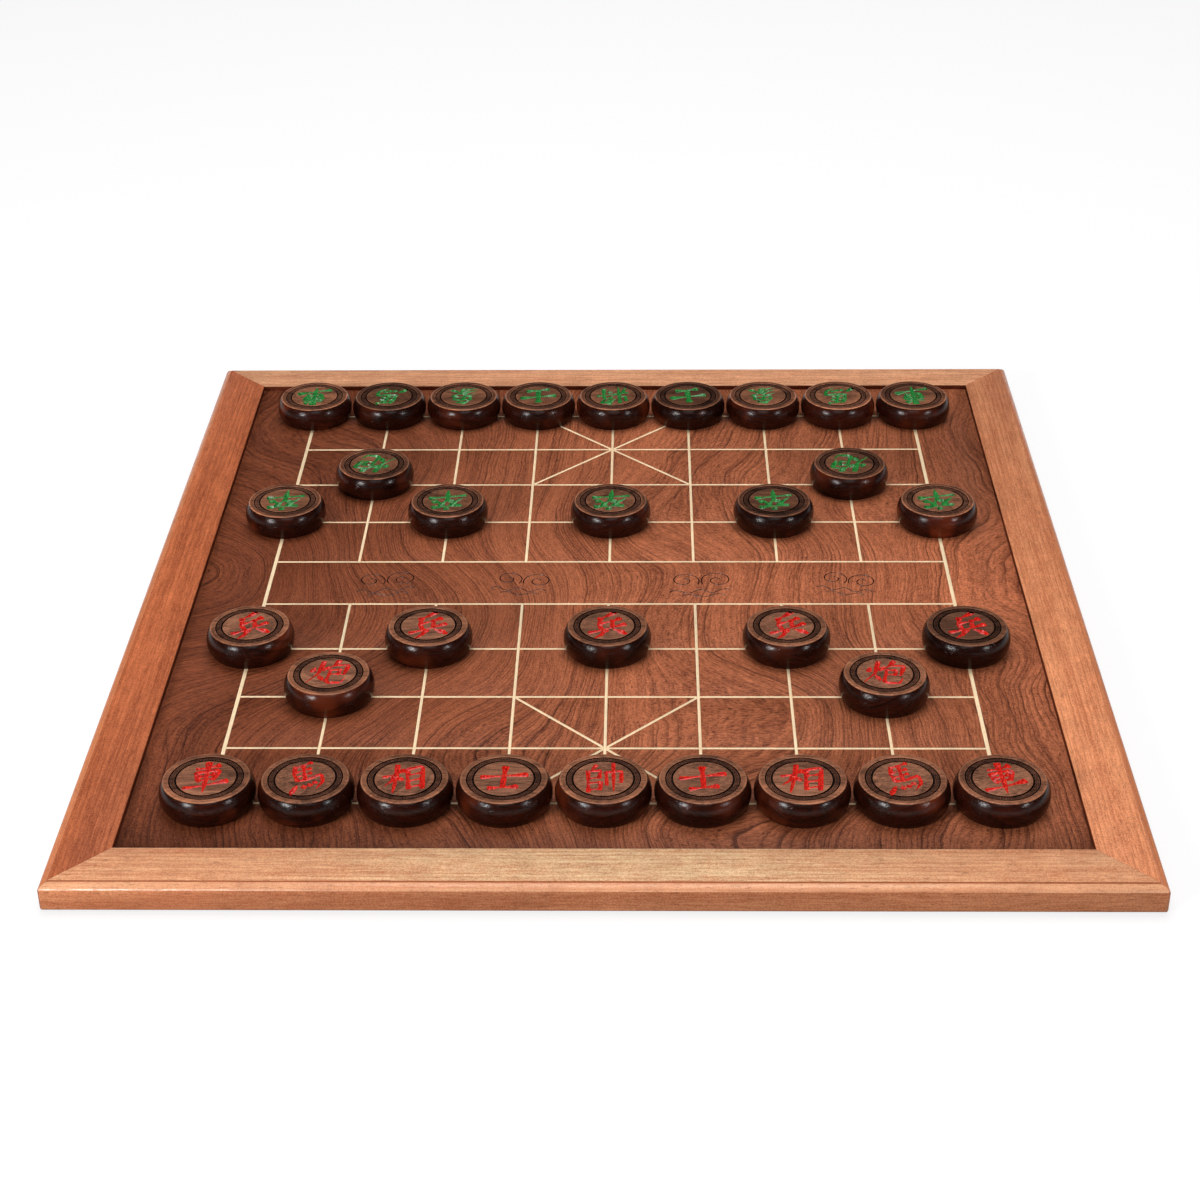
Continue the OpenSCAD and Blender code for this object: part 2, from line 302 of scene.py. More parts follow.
def srgb(red, green, blue):
    """A colour given as it looks on a screen, as the linear values that a shader takes."""
    def linear(value):
        value = value / 255
        return value / 12.92 if value <= 0.04045 else ((value + 0.055) / 1.055) ** 2.4
    return (linear(red), linear(green), linear(blue), 1)


# Selecting and editing

def select_only(item):
    """Selects an object alone and makes it active."""
    bpy.ops.object.select_all(action="DESELECT")
    item.select_set(True)
    bpy.context.view_layer.objects.active = item


def open_mesh(item, mode, selected=False):
    """Opens an object for editing in VERT, EDGE or FACE mode, with nothing selected or all of it."""
    select_only(item)
    bpy.ops.object.mode_set(mode="EDIT")
    bpy.ops.mesh.select_mode(type=mode)
    bpy.ops.mesh.select_all(action="SELECT" if selected else "DESELECT")


def close_mesh():
    bpy.ops.object.mode_set(mode="OBJECT")


def pick(item, mode, wanted):
    """Selects in edit mode the edges or the faces that a test accepts."""
    bpy.ops.mesh.select_mode(type=mode)
    bpy.ops.mesh.select_all(action="DESELECT")
    mesh = bmesh.from_edit_mesh(item.data)
    for part in mesh.edges if mode == "EDGE" else mesh.faces:
        part.select = wanted(part)
    bmesh.update_edit_mesh(item.data)


def apply_modifier(item, kind, **settings):
    """Adds a modifier with these settings and applies it."""
    select_only(item)
    modifier = item.modifiers.new(kind.lower(), kind)
    for name, value in settings.items():
        setattr(modifier, name, value)
    bpy.ops.object.modifier_apply(modifier=modifier.name)


def copy_object(source, name):
    """A copy of an object with a mesh of its own."""
    made = source.copy()
    made.data = source.data.copy()
    made.name = name
    bpy.context.scene.collection.objects.link(made)
    return made


def smooth(item, degrees=35):
    select_only(item)
    bpy.ops.object.shade_smooth_by_angle(angle=math.radians(degrees))


# Shader nodes

def shader_node(tree, kind, inputs=None, **settings):
    """Adds a node, sets its options, and links or fills its inputs."""
    made = tree.nodes.new(kind)
    for name, value in settings.items():
        setattr(made, name, value)
    for name, value in (inputs or {}).items():
        if isinstance(value, bpy.types.NodeSocket):
            tree.links.new(value, made.inputs[name])
        else:
            made.inputs[name].default_value = value
    return made


def maths(tree, operation, first, second=0.0):
    return shader_node(tree, "ShaderNodeMath", {0: first, 1: second}, operation=operation).outputs[0]


def vector_maths(tree, operation, first, second):
    return shader_node(tree, "ShaderNodeVectorMath", {0: first, 1: second}, operation=operation).outputs


def split(tree, vector):
    """The x, y and z of a vector."""
    return shader_node(tree, "ShaderNodeSeparateXYZ", {0: vector}).outputs


def join(tree, x, y, z):
    return shader_node(tree, "ShaderNodeCombineXYZ", {0: x, 1: y, 2: z}).outputs[0]


def noise(tree, vector, scale, detail, roughness):
    """Noise of this many cells to the metre, with layers of finer cells and the strength of these."""
    return shader_node(tree, "ShaderNodeTexNoise", {
        "Vector": vector, "Scale": scale, "Detail": detail, "Roughness": roughness,
    }).outputs["Fac"]


def spread(tree, value, low, high, to_low=0.0, to_high=1.0):
    """Stretches a value's range, held at its ends."""
    return shader_node(tree, "ShaderNodeMapRange", {
        "Value": value, "From Min": low, "From Max": high, "To Min": to_low, "To Max": to_high,
    }, interpolation_type="SMOOTHSTEP").outputs["Result"]


def mix(tree, amount, first, second, kind="MIX"):
    """Mixes two colours, which are inputs 6 and 7 of the node."""
    return shader_node(tree, "ShaderNodeMix", {0: amount, 6: first, 7: second}, data_type="RGBA",
                       blend_type=kind, clamp_factor=True).outputs[2]


def lay_over(tree, base, colour, mask, amount):
    """Lays a colour over another where a mask shows, by this much at most."""
    return mix(tree, maths(tree, "MULTIPLY", mask, amount), base, colour)


def scaled(tree, colour, tone):
    """A colour made lighter or darker by a value about 1."""
    return shader_node(tree, "ShaderNodeVectorMath", {0: colour, "Scale": tone},
                       operation="SCALE").outputs[0]


def new_group(name, inputs, outputs):
    """A shader node group that takes a vector and values, with what goes in and what comes out."""
    group = bpy.data.node_groups.new(name, "ShaderNodeTree")
    group.interface.new_socket("Vector", in_out="INPUT", socket_type="NodeSocketVector")
    for socket, value in inputs.items():
        made = group.interface.new_socket(socket, in_out="INPUT", socket_type="NodeSocketFloat")
        made.default_value = value
    for socket in outputs:
        group.interface.new_socket(socket, in_out="OUTPUT", socket_type="NodeSocketFloat")
    given = group.nodes.new("NodeGroupInput").outputs
    return group, given, group.nodes.new("NodeGroupOutput").inputs


def use_group(tree, group, inputs):
    return shader_node(tree, "ShaderNodeGroup", inputs, node_tree=group).outputs


# Woods, paint and felt

# How fast a wood's bands and its pores change along the grain, next to its fibres
BAND_PACE = 0.6
PORE_PACE = 2.2


def wood_fibre_group():
    """Growth bands, fibres, pores and a fine speckle of straight wood whose grain runs along y."""
    group, given, result = new_group("wood_fibre", {
        "Band scale": 120.0, "Fibre scale": 900.0, "Pore scale": 1500.0, "Stretch": 0.05,
    }, ("Bands", "Fibres", "Pores", "Speckle"))
    x, y, z = split(group, given["Vector"])
    along = maths(group, "MULTIPLY", y, given["Stretch"])
    band_place = join(group, x, maths(group, "MULTIPLY", along, BAND_PACE), z)
    fibre_place = join(group, x, along, z)
    pore_place = join(group, x, maths(group, "MULTIPLY", along, PORE_PACE), z)
    bands = noise(group, band_place, given["Band scale"], 4.0, 0.55)
    fibres = noise(group, fibre_place, given["Fibre scale"], 3.0, 0.6)
    pores = noise(group, pore_place, given["Pore scale"], 1.0, 0.5)
    speckle = noise(group, given["Vector"], given["Fibre scale"], 2.0, 0.7)
    for name, value, low, high in (("Bands", bands, 0.32, 0.68), ("Fibres", fibres, 0.3, 0.7),
                                   ("Pores", pores, 0.62, 0.74), ("Speckle", speckle, 0.34, 0.66)):
        group.links.new(spread(group, value, low, high), result[name])
    return group


# Where the panel's grain swells as round a knot: place, reach and push, in squares of the grid
SWELLS = (
    ((-4.7, 0.3), (1.5, 1.9), -2.6),
    ((-2.3, -1.0), (1.7, 1.9), -1.5),
    ((-1.6, -3.6), (1.6, 1.3), 0.9),
    ((2.3, -3.0), (1.2, 1.2), -0.95),
    ((-0.2, 1.6), (1.4, 1.6), 0.9),
    ((-2.6, 2.8), (1.8, 1.7), -1.1),
    ((3.3, 2.2), (1.8, 2.6), 0.45),
    ((1.0, -5.0), (1.3, 1.0), 0.6),
)

# Where the panel is lighter or darker: place, reach in squares of the grid, and change of tone
TONE_PATCHES = (
    ((2.4, 0.0), (3.0, 1.1), 0.14),
    ((3.0, -2.6), (1.8, 1.6), -0.2),
    ((3.0, 3.3), (2.0, 1.4), -0.2),
    ((5.0, -1.0), (0.9, 2.4), 0.16),
    ((5.0, 3.4), (1.0, 2.0), -0.3),
    ((-3.2, 3.5), (1.8, 1.3), -0.16),
)

# What multiplies the panel's colour at its left and at its right, a painted shade that darkens it to the
# left, and where one turns to the other
LEFT_SHADE_TINT = (0.5, 0.45, 0.41, 1)
RIGHT_LIGHT_TINT = (1.02, 1.06, 1.05, 1)
SHADE_TINT_FROM = -4.8 * SQUARE
SHADE_TINT_TO = 1.0 * SQUARE

# The painted shade on the panel's front edge: its tone, and where it turns to the rest
PAINTED_FRONT_SHADE = 0.54
FRONT_SHADE_FROM = -5.3 * SQUARE
FRONT_SHADE_TO = -4.5 * SQUARE

# How far from the middle a rail's paler middle colour, a painted sheen, starts to give way, and where it
# has gone
SHEEN_FADES = 30 * MM
SHEEN_GONE = 220 * MM


def soft_patch(tree, vector, place, reach):
    """A value of one at a place on the panel that falls away to nothing, both in squares of the grid."""
    offset = vector_maths(tree, "SUBTRACT", vector, (place[0] * SQUARE, place[1] * SQUARE, 0))[0]
    shrink = (1 / (reach[0] * SQUARE), 1 / (reach[1] * SQUARE), 0)
    measured = vector_maths(tree, "MULTIPLY", offset, shrink)[0]
    squared = vector_maths(tree, "DOT_PRODUCT", measured, measured)["Value"]
    return maths(tree, "POWER", math.e, maths(tree, "MULTIPLY", squared, -1.0))


def figured_grain(tree, vector):
    """Bends straight grain round the panel's swells, and waves it everywhere."""
    across, y, z = split(tree, vector)
    for place, reach, push in SWELLS:
        swell = soft_patch(tree, vector, place, reach)
        across = maths(tree, "ADD", across, maths(tree, "MULTIPLY", swell, push * SQUARE))
    broad = noise(tree, vector, 7.5, 1.0, 0.4)
    small = noise(tree, vector, 40.0, 1.0, 0.4)
    across = maths(tree, "ADD", across, maths(tree, "MULTIPLY", broad, 85 * MM))
    across = maths(tree, "ADD", across, maths(tree, "MULTIPLY", small, 5 * MM))
    return join(tree, across, y, z)


def wood_streaks(tree, fibre, bands, fibres, speckle):
    """The share of a wood's deep colour, from so much of its bands, its fibres and its speckle."""
    slow = maths(tree, "MULTIPLY", fibre["Bands"], bands)
    fine = maths(tree, "MULTIPLY", fibre["Fibres"], fibres)
    spots = maths(tree, "MULTIPLY", fibre["Speckle"], speckle)
    return maths(tree, "ADD", maths(tree, "ADD", slow, fine), spots)


def wood_relief(tree, fibre, ridges, hollows):
    """The height of a wood's surface, from so much of its fibres and from what is sunk in it."""
    return maths(tree, "SUBTRACT", maths(tree, "MULTIPLY", fibre["Fibres"], ridges), hollows)


def growth_lines_group():
    """Dark lines across x, each fading in slowly and ending sharply, some of them faint."""
    group, given, result = new_group("growth_lines", {
        "Density": 90.0, "Waver": 3.0, "Waver scale": 12.0, "Sharpness": 6.0,
    }, ("Lines",))
    vector = given["Vector"]
    drawn_out = vector_maths(group, "MULTIPLY", vector, (1, 0.25, 1))[0]
    wave = noise(group, drawn_out, given["Waver scale"], 2.0, 0.45)
    shift = maths(group, "MULTIPLY", maths(group, "SUBTRACT", wave, 0.5), given["Waver"])
    count = maths(group, "MULTIPLY", split(group, vector)["X"], given["Density"])
    ramp = maths(group, "FRACT", maths(group, "ADD", count, shift))
    line = maths(group, "POWER", ramp, given["Sharpness"])
    drawn_far = vector_maths(group, "MULTIPLY", vector, (1, 0.1, 1))[0]
    strength = spread(group, noise(group, drawn_far, 60.0, 2.0, 0.5), 0.35, 0.65, 0.15, 1.0)
    group.links.new(maths(group, "MULTIPLY", line, strength), result["Lines"])
    return group


def mottle_group():
    """Slow changes of tone over a piece of wood, as a value about 1."""
    group, given, result = new_group("mottle", {"Scale": 12.0, "Amount": 0.2}, ("Tone",))
    value = noise(group, given["Vector"], given["Scale"], 3.0, 0.55)
    centred = maths(group, "SUBTRACT", value, 0.5)
    change = maths(group, "MULTIPLY", maths(group, "MULTIPLY", centred, given["Amount"]), 4.0)
    group.links.new(maths(group, "ADD", change, 1.0), result["Tone"])
    return group


FIBRE = wood_fibre_group()
GROWTH = growth_lines_group()
MOTTLE = mottle_group()


def new_material(name):
    """An empty material with its Principled BSDF wired to the output."""
    material = bpy.data.materials.new(name)
    material.use_nodes = True
    tree = material.node_tree
    tree.nodes.clear()
    shader = tree.nodes.new("ShaderNodeBsdfPrincipled")
    output = tree.nodes.new("ShaderNodeOutputMaterial")
    tree.links.new(shader.outputs[0], output.inputs["Surface"])
    return material, tree, shader


def grain_space(tree, turn=0.0, attribute=None):
    """The vector that a wood's grain follows: the object's own place, or an attribute of the piece."""
    if attribute:
        return shader_node(tree, "ShaderNodeAttribute", attribute_name=attribute).outputs["Vector"]
    place = tree.nodes.new("ShaderNodeTexCoord").outputs["Object"]
    return shader_node(tree, "ShaderNodeMapping", {"Vector": place, "Rotation": (0, 0, turn)}).outputs[0]


def finish(tree, shader, colour, roughness, relief, height, specular):
    """Wires colour, roughness and a bump of this height into a shader, and sets how it reflects."""
    bump = shader_node(tree, "ShaderNodeBump", {"Height": relief, "Strength": 1.0, "Distance": height})
    tree.links.new(colour, shader.inputs["Base Color"])
    tree.links.new(bump.outputs[0], shader.inputs["Normal"])
    if isinstance(roughness, bpy.types.NodeSocket):
        tree.links.new(roughness, shader.inputs["Roughness"])
    else:
        shader.inputs["Roughness"].default_value = roughness
    shader.inputs["Specular IOR Level"].default_value = specular


def straight_wood(name, pale, deep, pore, turn=0.0, specular=0.1, roughness=0.36, bands=170.0,
                  middle=None, painted_falloff=None):
    """A straight-grained wood with bands, growth lines, fibres and short dark pores.

    Its pale colour may be paler at the middle of the board, a painted sheen. Its tone may change along an
    axis as painted light and shade, given with the places where the change starts and ends and the tones
    there.
    """
    material, tree, shader = new_material(name)
    pale, deep, pore = srgb(*pale), srgb(*deep), srgb(*pore)
    vector = grain_space(tree, turn)
    fibre = use_group(tree, FIBRE, {"Vector": vector, "Band scale": bands, "Fibre scale": 1200.0,
                                    "Pore scale": 1500.0, "Stretch": 0.06})
    growth = use_group(tree, GROWTH, {"Vector": vector, "Density": 320.0, "Waver": 3.0,
                                      "Waver scale": 9.0, "Sharpness": 3.0})
    streaks = wood_streaks(tree, fibre, 0.25, 0.35, 0.4)
    place = split(tree, grain_space(tree))
    # Paler at the middle of the board, a painted sheen
    if middle:
        away = maths(tree, "ABSOLUTE", place["X"])
        pale = mix(tree, spread(tree, away, SHEEN_FADES, SHEEN_GONE), srgb(*middle), pale)
    colour = mix(tree, streaks, pale, deep)
    colour = lay_over(tree, colour, deep, growth["Lines"], 0.7)
    colour = lay_over(tree, colour, pore, fibre["Pores"], 0.5)
    tone = use_group(tree, MOTTLE, {"Vector": vector, "Scale": 60.0, "Amount": 0.1})["Tone"]
    # Painted light and shade: the tone changes along an axis of the board
    if painted_falloff:
        axis, low, high, at_low, at_high = painted_falloff
        tone = maths(tree, "MULTIPLY", tone, spread(tree, place[axis], low, high, at_low, at_high))
    rough = spread(tree, fibre["Fibres"], 0.0, 1.0, roughness - 0.06, roughness + 0.08)
    relief = wood_relief(tree, fibre, 0.4, fibre["Pores"])
    finish(tree, shader, scaled(tree, colour, tone), rough, relief, height=0.06 * MM, specular=specular)
    return material


def panel_wood():
    """Figured red-brown wood: dark veins and pores that swirl round the swells, with painted shade that
    darkens it to the left and at its front edge.
    """
    material, tree, shader = new_material("panel_wood")
    place = grain_space(tree)
    vector = figured_grain(tree, place)
    fibre = use_group(tree, FIBRE, {"Vector": vector, "Band scale": 110.0, "Fibre scale": 1100.0,
                                    "Pore scale": 1000.0, "Stretch": 0.14})
    wide = use_group(tree, GROWTH, {"Vector": vector, "Density": 120.0, "Waver": 6.0,
                                    "Waver scale": 14.0, "Sharpness": 12.0})
    narrow = use_group(tree, GROWTH, {"Vector": vector, "Density": 300.0, "Waver": 9.0,
                                      "Waver scale": 20.0, "Sharpness": 4.0})
    streaks = wood_streaks(tree, fibre, 0.25, 0.3, 0.45)
    colour = mix(tree, streaks, srgb(216, 126, 86), srgb(100, 46, 28))
    colour = lay_over(tree, colour, srgb(76, 28, 16), narrow["Lines"], 0.8)
    colour = lay_over(tree, colour, srgb(50, 18, 10), wide["Lines"], 0.95)
    colour = lay_over(tree, colour, srgb(60, 22, 12), fibre["Pores"], 0.7)
    mottled = use_group(tree, MOTTLE, {"Vector": place, "Scale": 7.0, "Amount": 0.12})["Tone"]
    part = split(tree, place)
    # Painted shade: the panel darkens towards its left
    shade_tint = mix(tree, spread(tree, part["X"], SHADE_TINT_FROM, SHADE_TINT_TO), LEFT_SHADE_TINT, RIGHT_LIGHT_TINT)
    colour = mix(tree, 1.0, colour, shade_tint, "MULTIPLY")
    # Painted shade along the panel's front edge
    front_shade = spread(tree, part["Y"], FRONT_SHADE_FROM, FRONT_SHADE_TO, PAINTED_FRONT_SHADE, 1.0)
    tone = maths(tree, "MULTIPLY", mottled, front_shade)
    for centre, reach, change in TONE_PATCHES:
        patch = maths(tree, "MULTIPLY", soft_patch(tree, place, centre, reach), change)
        tone = maths(tree, "MULTIPLY", tone, maths(tree, "ADD", patch, 1.0))
    rough = spread(tree, fibre["Fibres"], 0.0, 1.0, 0.4, 0.54)
    hollows = maths(tree, "MAXIMUM", fibre["Pores"], wide["Lines"])
    relief = wood_relief(tree, fibre, 0.4, hollows)
    finish(tree, shader, scaled(tree, colour, tone), rough, relief, height=0.08 * MM, specular=0.12)
    return material


def turned_wood(name, pale, deep, roughness, specular, bands=130.0, redness=None):
    """The wood of a playing piece, whose grain keeps to the piece, with red patches where given."""
    material, tree, shader = new_material(name)
    pale, deep = srgb(*pale), srgb(*deep)
    vector = grain_space(tree, attribute="turned_grain")
    fibre = use_group(tree, FIBRE, {"Vector": vector, "Band scale": bands, "Fibre scale": 1150.0,
                                    "Pore scale": 1000.0, "Stretch": 0.08})
    growth = use_group(tree, GROWTH, {"Vector": vector, "Density": 170.0, "Waver": 6.0,
                                      "Waver scale": 30.0, "Sharpness": 2.0})
    streaks = wood_streaks(tree, fibre, 0.3, 0.5, 0.2)
    colour = mix(tree, streaks, pale, deep)
    if redness:
        patch = noise(tree, vector, 34.0, 2.0, 0.5)
        colour = mix(tree, spread(tree, patch, 0.54, 0.74, 0.0, 0.8), colour, srgb(*redness))
    colour = lay_over(tree, colour, deep, growth["Lines"], 0.6)
    colour = lay_over(tree, colour, srgb(22, 10, 8), fibre["Pores"], 0.4)
    tone = use_group(tree, MOTTLE, {"Vector": vector, "Scale": 5.0, "Amount": 0.5})["Tone"]
    relief = wood_relief(tree, fibre, 0.3, fibre["Pores"])
    colour = scaled(tree, colour, tone)
    finish(tree, shader, colour, roughness, relief, height=0.07 * MM, specular=specular)
    return material


def carved_paint(name, colour, thin, glint_colour):
    """Glossy paint that fills the carved strokes, thin and dark in places, with painted glints of a
    brighter colour.
    """
    material, tree, shader = new_material(name)
    place = grain_space(tree)
    patches = noise(tree, place, 900.0, 3.0, 0.6)
    glint_spots = noise(tree, place, 1300.0, 1.0, 0.5)
    body = mix(tree, spread(tree, patches, 0.42, 0.66, 0.0, 0.9), srgb(*colour), srgb(*thin))
    # Painted glints where the spot noise is high
    body = mix(tree, spread(tree, glint_spots, 0.56, 0.72, 0.0, 0.8), body, srgb(*glint_colour))
    finish(tree, shader, body, 0.26, patches, height=0.08 * MM, specular=0.42)
    return material


def felt():
    """Dark wool felt with a soft uneven nap."""
    material, tree, shader = new_material("pad_felt")
    place = grain_space(tree)
    nap = noise(tree, place, 2600.0, 4.0, 0.7)
    tufts = noise(tree, place, 500.0, 2.0, 0.5)
    colour = mix(tree, nap, srgb(46, 43, 41), srgb(84, 79, 74))
    relief = maths(tree, "ADD", nap, tufts)
    finish(tree, shader, colour, 0.95, relief, height=0.4 * MM, specular=0.2)
    shader.inputs["Sheen Weight"].default_value = 0.3
    return material


# The front rail's top, paler at its middle as a painted sheen
FRONT_RAIL_WOOD = straight_wood("front_rail_wood", (255, 198, 152), (196, 114, 74), (146, 80, 50),
                                turn=ALONG_X, middle=(255, 228, 180))
# The outer faces of the front and back rails: a darker copy of their wood as painted shade, lighter to
# the left as painted light
OUTER_FACE_SHADE_WOOD = straight_wood("front_face_painted_shade_wood", (248, 170, 122), (184, 98, 62), (136, 70, 42),
                                turn=ALONG_X, painted_falloff=("X", -0.27, -0.04, 1.08, 0.82))
# The back, left and right rails change tone along their length as painted light and shade
BACK_RAIL_WOOD = straight_wood("back_rail_wood", (255, 194, 150), (182, 112, 76), (134, 76, 50),
                               turn=ALONG_X, painted_falloff=("X", -0.27, -0.02, 0.84, 1.0))
LEFT_RAIL_WOOD = straight_wood("left_rail_wood", (224, 128, 82), (138, 66, 38), (104, 48, 28),
                               painted_falloff=("Y", -0.3, -0.05, 0.92, 1.07))
RIGHT_RAIL_WOOD = straight_wood("right_rail_wood", (255, 174, 124), (182, 99, 62), (138, 72, 44),
                                painted_falloff=("Y", -0.2, 0.28, 1.02, 0.8))
# Darker wood in each rail's step, painted shade in the crease
STEP_SHADE = straight_wood("step_painted_shade", (196, 124, 86), (160, 92, 60), (120, 64, 40))
# Dark wood on the rails' inner walls above the panel, painted shade
INNER_WALL_SHADE = straight_wood("inner_wall_painted_shade", (128, 60, 36), (78, 32, 19), (54, 22, 13))
# Paler wood on the rounded edges of the rails, a painted highlight; its gloss is real
HIGHLIGHT_EDGE = straight_wood("painted_highlight_edge_wood", (255, 196, 150), (214, 134, 92), (160, 92, 60),
                              turn=ALONG_X, specular=0.5, roughness=0.3)
HIGHLIGHT_SIDE_EDGE = straight_wood("painted_highlight_side_edge_wood", (236, 152, 104), (184, 104, 66),
                                   (150, 84, 54), specular=0.4, roughness=0.3)
INLAY_WOOD = straight_wood("inlay_wood", (255, 238, 200), (250, 212, 168), (216, 170, 124),
                           roughness=0.4, bands=300.0)
SPLINE_WOOD = straight_wood("spline_wood", (200, 160, 116), (178, 136, 96), (140, 100, 66))
BATTEN_WOOD = straight_wood("batten_wood", (176, 124, 88), (150, 100, 70), (110, 70, 46),
                            turn=ALONG_X, roughness=0.6)
PANEL_WOOD = panel_wood()
FELT = felt()
SIDE_WOOD = turned_wood("piece_side_wood", (58, 20, 10), (13, 4, 2), 0.2, 0.21,
                        bands=110.0, redness=(104, 42, 20))
FACE_WOOD = turned_wood("piece_face_wood", (184, 124, 94), (44, 27, 20), 0.42, 0.06)
RING_WOOD = turned_wood("piece_ring_wood", (22, 10, 7), (9, 4, 3), 0.5, 0.04)
RAISED_WOOD = turned_wood("piece_meander_wood", (146, 96, 75), (33, 18, 13), 0.5, 0.06)
# A paler wood on the eased rim and ring edges: partly wear, partly a painted highlight
EDGE_WEAR_GLINT_WOOD = turned_wood("piece_edge_wear_and_highlight_wood", (204, 134, 96), (92, 54, 38), 0.36, 0.2)
BAND_WOOD = turned_wood("piece_band_wood", (182, 118, 86), (50, 29, 21), 0.4, 0.08)
# Darker copies of the face and band woods for the green side's pieces, painted shade
FACE_SHADE_WOOD = turned_wood("piece_face_wood_painted_shade", (166, 108, 78), (38, 22, 16), 0.42, 0.06)
BAND_SHADE_WOOD = turned_wood("piece_band_wood_painted_shade", (138, 86, 62), (36, 20, 15), 0.4, 0.08)
RED_PAINT = carved_paint("red_paint", (230, 34, 24), (140, 12, 10), (255, 92, 58))
GREEN_PAINT = carved_paint("green_paint", (40, 142, 62), (18, 76, 34), (110, 200, 104))
ENGRAVING_STAIN = carved_paint("engraving_stain", (40, 18, 13), (26, 12, 8), (66, 32, 22))


# The playing pieces

def barrel_radius(height):
    """Radius of a piece's side at a height above its foot: one arc between the two flat faces."""
    half = PIECE_H / 2
    swell = PIECE_R - FACE_R
    arc_r = (half * half + swell * swell) / (2 * swell)
    return PIECE_R - arc_r + math.sqrt(arc_r * arc_r - (height - half) ** 2)


def on_circle(edge, radius, height):
    """True for an edge of the circle of this radius at this height."""
    return all(
        math.dist((vertex.co.xy.length, vertex.co.z), (radius, height)) < EXACT for vertex in edge.verts
    )


def piece_part(face):
    """Which material a face of a blank piece takes, by its place."""
    middle = face.calc_center_median()
    radius = middle.xy.length
    near_ring = RING_INNER_R - CLOSE < radius < RING_OUTER_R + CLOSE
    if near_ring and middle.z > PIECE_H - RING_DEPTH - CLOSE:
        return RING
    if face.normal.z > FLAT and radius > RING_OUTER_R:
        return BAND
    if abs(face.normal.z) > FLAT and radius < FACE_R:
        return FACE
    return SIDE


def turn_barrel():
    """A cylinder whose side is cut into bands and swelled to the barrel's arc."""
    bpy.ops.mesh.primitive_cylinder_add(vertices=TURNED_SIDES, radius=FACE_R, depth=PIECE_H,
                                        location=(0, 0, PIECE_H / 2))
    blank = bpy.context.object
    blank.name = "blank_piece"
    bpy.ops.object.transform_apply(location=True)
    open_mesh(blank, "EDGE")
    pick(blank, "EDGE", lambda edge: abs(edge.verts[0].co.z - edge.verts[1].co.z) > PIECE_H / 2)
    bpy.ops.mesh.subdivide(number_cuts=BARREL_CUTS)
    close_mesh()
    for vertex in blank.data.vertices:
        swell = barrel_radius(vertex.co.z) / FACE_R
        vertex.co.x *= swell
        vertex.co.y *= swell
    return blank


def sink_ring(blank):
    """Sinks the ring into the top, with a row of faces for each row of the meander."""
    open_mesh(blank, "FACE")
    pick(blank, "FACE", lambda face: face.normal.z > FLAT and face.calc_area() > FACE_R ** 2)
    bpy.ops.mesh.inset(thickness=FACE_R - RING_OUTER_R)
    bpy.ops.mesh.extrude_region_move(TRANSFORM_OT_translate={"value": (0, 0, -RING_DEPTH)})
    for width in [MEANDER_MARGIN] + [MEANDER_ROW] * len(MEANDER) + [MEANDER_MARGIN]:
        bpy.ops.mesh.inset(thickness=width)
    bpy.ops.mesh.extrude_region_move(TRANSFORM_OT_translate={"value": (0, 0, RING_DEPTH)})
    mesh = bmesh.from_edit_mesh(blank.data)
    for face in mesh.faces:
        face.material_index = piece_part(face)
    bmesh.update_edit_mesh(blank.data)


def ease_circles(blank):
    """Rounds the foot, and the rim and the ring's two edges in a paler wood, partly wear and partly a
    painted highlight.
    """
    circles = (
        (FACE_R, PIECE_H, RIM_EASE, EDGE),
        (RING_OUTER_R, PIECE_H, RING_EASE, EDGE),
        (RING_INNER_R, PIECE_H, RING_EASE, EDGE),
        (FACE_R, 0, FOOT_EASE, SIDE),
    )
    for radius, height, ease, material in circles:
        pick(blank, "EDGE", lambda edge: on_circle(edge, radius, height))
        bpy.ops.mesh.bevel(offset=ease, segments=3, affect="EDGES", material=material)


def in_meander(face):
    """True for a face of the ring's floor that the meander raises."""
    middle = face.calc_center_median()
    row = math.floor((RING_OUTER_R - MEANDER_MARGIN - middle.xy.length) / MEANDER_ROW)
    on_floor = abs(middle.z - (PIECE_H - RING_DEPTH)) < EXACT and face.normal.z > FLAT
    if not on_floor or not 0 <= row < len(MEANDER):
        return False
    turn = (math.atan2(middle.y, middle.x) / math.tau) % 1
    column = math.floor(turn * TURNED_SIDES) % len(MEANDER[0])
    return MEANDER[row][column] == "#"


def raise_meander(blank):
    """Raises the meander from the ring's floor, its top in a wood less dark than the ring."""
    pick(blank, "FACE", in_meander)
    bpy.ops.mesh.extrude_region_move(TRANSFORM_OT_translate={"value": (0, 0, MEANDER_RISE)})
    mesh = bmesh.from_edit_mesh(blank.data)
    for face in mesh.faces:
        if face.select:
            face.material_index = RAISED
    bmesh.update_edit_mesh(blank.data)
    close_mesh()


def blank_piece():
    """A turned piece at the origin, complete but for its character."""
    blank = turn_barrel()
    for material in (SIDE_WOOD, FACE_WOOD, RING_WOOD, EDGE_WEAR_GLINT_WOOD, RED_PAINT, RAISED_WOOD, BAND_WOOD):
        blank.data.materials.append(material)
    sink_ring(blank)
    ease_circles(blank)
    raise_meander(blank)
    return blank


def along_path(points, share):
    """The point at a share of the way along a stroke."""
    lengths = [math.dist(a, b) for a, b in zip(points, points[1:])]
    left = share * sum(lengths)
    for start, end, length in zip(points, points[1:], lengths):
        if left <= length or end is points[-1]:
            step = min(left / length, 1)
            return Vector(start).lerp(Vector(end), step)
        left -= length


def brush_width(kind, share):
    """Half width of the brush at a share of the way along a stroke."""
    widths = BRUSH[kind]
    place = share * (len(widths) - 1)
    index = min(int(place), len(widths) - 2)
    return widths[index] + (widths[index + 1] - widths[index]) * (place - index)


